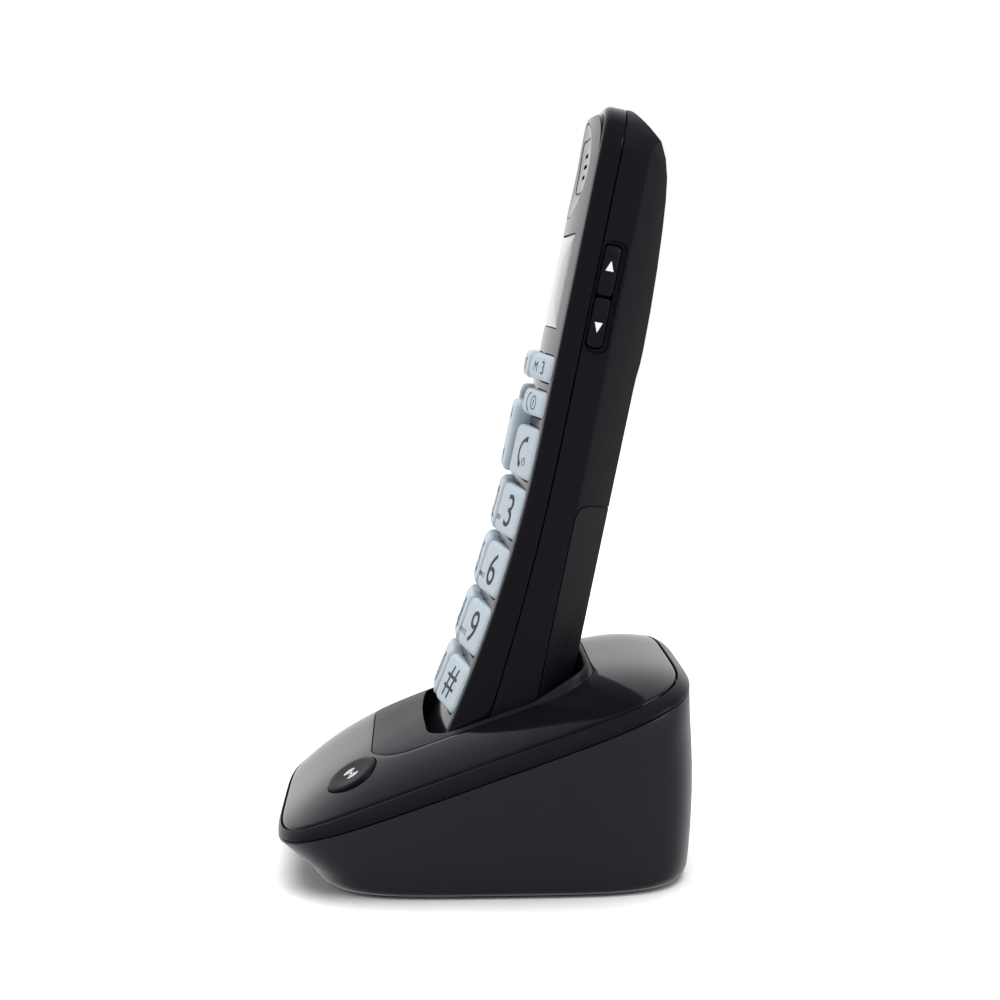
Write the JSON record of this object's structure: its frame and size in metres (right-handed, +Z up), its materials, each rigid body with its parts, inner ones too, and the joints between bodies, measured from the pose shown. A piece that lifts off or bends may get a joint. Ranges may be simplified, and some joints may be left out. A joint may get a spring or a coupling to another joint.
{
  "type": "cordless phone with base",
  "caption": "Upright cordless handset with large keys and a display, standing in a wedge-shaped charging base with a page button.",
  "frame": {"origin": "on the surface that the base stands on, under the middle of the base", "axes": "+Z up; the keypad faces -Y; the volume keys are on the +X side"},
  "size_m": [0.0912, 0.1002, 0.1839],
  "materials": {
    "gloss_black": "polished moulded ABS",
    "satin_black": "satin moulded ABS",
    "textured_black": "fine spark-eroded texture",
    "insert_grey": "matt dark grey",
    "key_grey": "pale blue-grey, printed legends",
    "clear_window": "clear polished",
    "lcd_glass": "pale display",
    "inner_plastic": "plain moulded",
    "silicone": "matt silicone",
    "board_green": "lacquered board",
    "plated_metal": "nickel plated",
    "cell_sleeve": "printed sleeve",
    "foot_rubber": "matt rubber"
  },
  "bodies": {
    "base": {"base_housing": "satin_black", "base_rim": "satin_black", "base_cover": "gloss_black", "cradle_insert": "insert_grey", "page_switch": "inner_plastic", "base_circuit_board": "board_green", "charge_springs": "plated_metal", "line_socket": "inner_plastic", "power_socket": "inner_plastic", "base_screws": "plated_metal", "rubber_feet": "foot_rubber"},
    "handset": {"front_shell": "gloss_black", "rear_shell": "textured_black", "faceplate": "gloss_black", "display_lens": "clear_window", "lcd_panel": "lcd_glass", "lcd_frame": "inner_plastic", "lcd_backlight": "lcd_glass", "receiver_speaker": "inner_plastic", "receiver_grille": "insert_grey", "keypad_mat": "silicone", "handset_circuit_board": "board_green", "microphone": "inner_plastic", "ringer_speaker": "inner_plastic", "battery_cover": "textured_black", "battery_cells": "cell_sleeve", "battery_contacts": "plated_metal", "handset_charge_contacts": "plated_metal", "handset_screws": "plated_metal", "volume_switches": "inner_plastic"},
    "key_memory_1": {"key_memory_1": "key_grey"},
    "key_memory_2": {"key_memory_2": "key_grey"},
    "key_memory_3": {"key_memory_3": "key_grey"},
    "key_function_left": {"key_function_left": "key_grey"},
    "key_function_right": {"key_function_right": "key_grey"},
    "key_call": {"key_call": "key_grey"},
    "key_navigation": {"key_navigation": "key_grey"},
    "key_end": {"key_end": "key_grey"},
    "key_star": {"key_star": "key_grey"},
    "key_0": {"key_0": "key_grey"},
    "key_hash": {"key_hash": "key_grey"},
    "key_7": {"key_7": "key_grey"},
    "key_8": {"key_8": "key_grey"},
    "key_9": {"key_9": "key_grey"},
    "key_4": {"key_4": "key_grey"},
    "key_5": {"key_5": "key_grey"},
    "key_6": {"key_6": "key_grey"},
    "key_1": {"key_1": "key_grey"},
    "key_2": {"key_2": "key_grey"},
    "key_3": {"key_3": "key_grey"},
    "volume_up_key": {"volume_up_key": "textured_black"},
    "volume_down_key": {"volume_down_key": "textured_black"},
    "page_button": {"page_button": "insert_grey"}
  },
  "joints": [
    {"name": "handset_lift", "type": "slide", "parent": "base", "child": "handset", "axis": [0, 0.1994, 0.9799], "range_m": [0, 0.08]},
    {"name": "key_memory_1_press", "type": "slide", "parent": "handset", "child": "key_memory_1", "axis": [0, 0.9799, -0.1994], "range_m": [0, 0.0008], "stiffness_N_per_m": 200, "springref_m": -0.0015},
    {"name": "key_memory_2_press", "type": "slide", "parent": "handset", "child": "key_memory_2", "axis": [0, 0.9799, -0.1994], "range_m": [0, 0.0008], "stiffness_N_per_m": 200, "springref_m": -0.0015},
    {"name": "key_memory_3_press", "type": "slide", "parent": "handset", "child": "key_memory_3", "axis": [0, 0.9799, -0.1994], "range_m": [0, 0.0008], "stiffness_N_per_m": 200, "springref_m": -0.0015},
    {"name": "key_function_left_press", "type": "slide", "parent": "handset", "child": "key_function_left", "axis": [0, 0.9799, -0.1994], "range_m": [0, 0.0008], "stiffness_N_per_m": 200, "springref_m": -0.0015},
    {"name": "key_function_right_press", "type": "slide", "parent": "handset", "child": "key_function_right", "axis": [0, 0.9799, -0.1994], "range_m": [0, 0.0008], "stiffness_N_per_m": 200, "springref_m": -0.0015},
    {"name": "key_call_press", "type": "slide", "parent": "handset", "child": "key_call", "axis": [0, 0.9772, -0.2122], "range_m": [0, 0.0008], "stiffness_N_per_m": 200, "springref_m": -0.0015},
    {"name": "key_navigation_press", "type": "slide", "parent": "handset", "child": "key_navigation", "axis": [0, 0.9788, -0.2047], "range_m": [0, 0.0008], "stiffness_N_per_m": 200, "springref_m": -0.0015},
    {"name": "key_end_press", "type": "slide", "parent": "handset", "child": "key_end", "axis": [0, 0.9772, -0.2122], "range_m": [0, 0.0008], "stiffness_N_per_m": 200, "springref_m": -0.0015},
    {"name": "key_star_press", "type": "slide", "parent": "handset", "child": "key_star", "axis": [0, 0.9273, -0.3744], "range_m": [0, 0.0008], "stiffness_N_per_m": 200, "springref_m": -0.0015},
    {"name": "key_0_press", "type": "slide", "parent": "handset", "child": "key_0", "axis": [0, 0.9273, -0.3744], "range_m": [0, 0.0008], "stiffness_N_per_m": 200, "springref_m": -0.0015},
    {"name": "key_hash_press", "type": "slide", "parent": "handset", "child": "key_hash", "axis": [0, 0.9273, -0.3744], "range_m": [0, 0.0008], "stiffness_N_per_m": 200, "springref_m": -0.0015},
    {"name": "key_7_press", "type": "slide", "parent": "handset", "child": "key_7", "axis": [0, 0.9425, -0.3343], "range_m": [0, 0.0008], "stiffness_N_per_m": 200, "springref_m": -0.0015},
    {"name": "key_8_press", "type": "slide", "parent": "handset", "child": "key_8", "axis": [0, 0.9425, -0.3343], "range_m": [0, 0.0008], "stiffness_N_per_m": 200, "springref_m": -0.0015},
    {"name": "key_9_press", "type": "slide", "parent": "handset", "child": "key_9", "axis": [0, 0.9425, -0.3343], "range_m": [0, 0.0008], "stiffness_N_per_m": 200, "springref_m": -0.0015},
    {"name": "key_4_press", "type": "slide", "parent": "handset", "child": "key_4", "axis": [0, 0.9558, -0.2939], "range_m": [0, 0.0008], "stiffness_N_per_m": 200, "springref_m": -0.0015},
    {"name": "key_5_press", "type": "slide", "parent": "handset", "child": "key_5", "axis": [0, 0.9558, -0.2939], "range_m": [0, 0.0008], "stiffness_N_per_m": 200, "springref_m": -0.0015},
    {"name": "key_6_press", "type": "slide", "parent": "handset", "child": "key_6", "axis": [0, 0.9558, -0.2939], "range_m": [0, 0.0008], "stiffness_N_per_m": 200, "springref_m": -0.0015},
    {"name": "key_1_press", "type": "slide", "parent": "handset", "child": "key_1", "axis": [0, 0.9674, -0.2531], "range_m": [0, 0.0008], "stiffness_N_per_m": 200, "springref_m": -0.0015},
    {"name": "key_2_press", "type": "slide", "parent": "handset", "child": "key_2", "axis": [0, 0.9674, -0.2531], "range_m": [0, 0.0008], "stiffness_N_per_m": 200, "springref_m": -0.0015},
    {"name": "key_3_press", "type": "slide", "parent": "handset", "child": "key_3", "axis": [0, 0.9674, -0.2531], "range_m": [0, 0.0008], "stiffness_N_per_m": 200, "springref_m": -0.0015},
    {"name": "volume_up_key_press", "type": "slide", "parent": "handset", "child": "volume_up_key", "axis": [-1, 0, 0], "range_m": [0, 0.0006], "stiffness_N_per_m": 200, "springref_m": -0.0015},
    {"name": "volume_down_key_press", "type": "slide", "parent": "handset", "child": "volume_down_key", "axis": [-1, 0, 0], "range_m": [0, 0.0006], "stiffness_N_per_m": 200, "springref_m": -0.0015},
    {"name": "page_button_press", "type": "slide", "parent": "base", "child": "page_button", "axis": [-0.169, 0.4886, -0.856], "range_m": [0, 0.001], "stiffness_N_per_m": 200, "springref_m": -0.0015}
  ]
}
